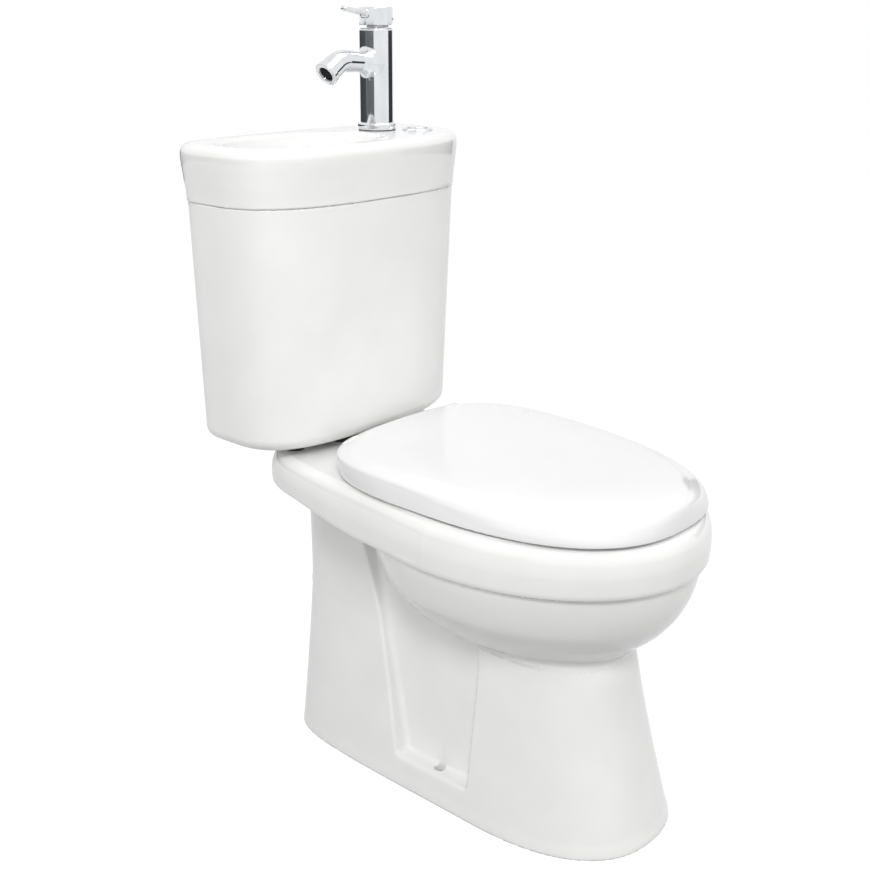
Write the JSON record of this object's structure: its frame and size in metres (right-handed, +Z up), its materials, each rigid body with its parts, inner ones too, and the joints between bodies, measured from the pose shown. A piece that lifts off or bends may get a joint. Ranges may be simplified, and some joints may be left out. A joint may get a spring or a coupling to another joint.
{
  "type": "toilet with basin on the cistern",
  "caption": "Close-coupled toilet with a soft-close seat, a dual flush button, and a hand basin with a lever tap cast into the cistern lid.",
  "frame": {"origin": "on the floor under the middle of the object's box; the wall plane is 316 mm behind it", "axes": "+Z up, -Y to the front of the bowl, +X to the viewer's right as seen from the front"},
  "size_m": [0.379, 0.632, 0.9283],
  "materials": {
    "vitreous_china": "glazed white vitreous china, opaque, glossy",
    "seat_plastic": "glossy white moulded urea",
    "white_elastomer": "satin",
    "stainless_steel": "satin",
    "dark_plastic": "matte",
    "dark_rubber": "matte",
    "brass": "satin",
    "chrome_plate": "polished",
    "grey_plastic": "satin",
    "white_plastic": "satin",
    "blue_plastic": "satin",
    "red_silicone": "satin",
    "cable_sheath": "satin"
  },
  "bodies": {
    "root": {"pan": "vitreous_china", "cistern": "vitreous_china", "basin_lid": "vitreous_china", "hinge_posts": "stainless_steel", "hinge_pins": "stainless_steel", "hinge_pads": "dark_rubber", "hinge_studs": "stainless_steel", "hinge_sleeves": "dark_rubber", "hinge_cone_nuts": "stainless_steel", "coupling_washer": "dark_rubber", "cistern_bolts": "brass", "cistern_seals": "dark_rubber", "cistern_plates": "brass", "cistern_spacers": "dark_rubber", "cistern_wing_nuts": "brass", "tap_body": "chrome_plate", "tap_base_ring": "chrome_plate", "tap_gasket": "dark_rubber", "outlet_ring": "chrome_plate", "aerator": "dark_plastic", "cartridge": "grey_plastic", "cartridge_nut": "chrome_plate", "tap_seal": "dark_rubber", "tap_clamp": "stainless_steel", "tap_nut": "brass", "waste_flange": "chrome_plate", "waste_seals": "dark_rubber", "waste_nut": "brass", "button_bezel": "chrome_plate", "button_nut": "white_plastic", "rocker_box": "white_plastic", "flush_cable": "cable_sheath", "flush_valve_body": "grey_plastic", "flush_valve_cap": "blue_plastic", "flush_valve_seal": "dark_rubber", "flush_backnut": "grey_plastic", "fill_valve_body": "white_plastic", "fill_valve_cap": "blue_plastic", "fill_valve_seal": "dark_rubber", "fill_valve_nut": "white_plastic"},
    "seat_ring": {"seat_ring": "seat_plastic", "ring_buffers": "white_elastomer", "hinge_dampers": "dark_plastic"},
    "seat_lid": {"seat_lid": "seat_plastic", "lid_buffers": "white_elastomer"},
    "full_flush_button": {"full_flush_button": "chrome_plate"},
    "half_flush_button": {"half_flush_button": "chrome_plate"},
    "flush_lift": {"lift_tube": "white_plastic", "flush_seal": "red_silicone"},
    "float_arm": {"float_arm": "blue_plastic", "fill_float": "white_plastic"},
    "tap_swivel": {"tap_spindle": "stainless_steel", "handle_pin": "stainless_steel"},
    "tap_handle": {"tap_handle": "chrome_plate"}
  },
  "joints": [
    {"name": "seat_ring_hinge", "type": "hinge", "parent": "root", "child": "seat_ring", "pos_m": [0, 0.112, 0.419], "axis": [-1, 0, 0], "range_deg": [0, 89]},
    {"name": "seat_lid_hinge", "type": "hinge", "parent": "seat_ring", "child": "seat_lid", "pos_m": [0, 0.112, 0.419], "axis": [1, 0, 0], "range_deg": [-89, 0]},
    {"name": "full_flush_press", "type": "slide", "parent": "root", "child": "full_flush_button", "axis": [0, 0, -1], "range_m": [0, 0.005], "stiffness_N_per_m": 400, "springref_m": -0.003},
    {"name": "half_flush_press", "type": "slide", "parent": "root", "child": "half_flush_button", "axis": [0, 0, -1], "range_m": [0, 0.005], "stiffness_N_per_m": 400, "springref_m": -0.003},
    {"name": "flush_valve_lift", "type": "slide", "parent": "root", "child": "flush_lift", "axis": [0, 0, 1], "range_m": [0, 0.018]},
    {"name": "float_arm_swing", "type": "hinge", "parent": "root", "child": "float_arm", "pos_m": [-0.063, 0.268, 0.615], "axis": [0, -1, 0], "range_deg": [0, 14]},
    {"name": "tap_swivel_turn", "type": "hinge", "parent": "root", "child": "tap_swivel", "pos_m": [0.0935, 0.241, 0.9026], "axis": [0, 0, 1], "range_deg": [-45, 45]},
    {"name": "tap_lever_lift", "type": "hinge", "parent": "tap_swivel", "child": "tap_handle", "pos_m": [0.103, 0.241, 0.9126], "axis": [0, 1, 0], "range_deg": [0, 20]}
  ],
  "couplings": [
    {"joint": "flush_valve_lift", "follows": "full_flush_press", "ratio": 3.6}
  ]
}
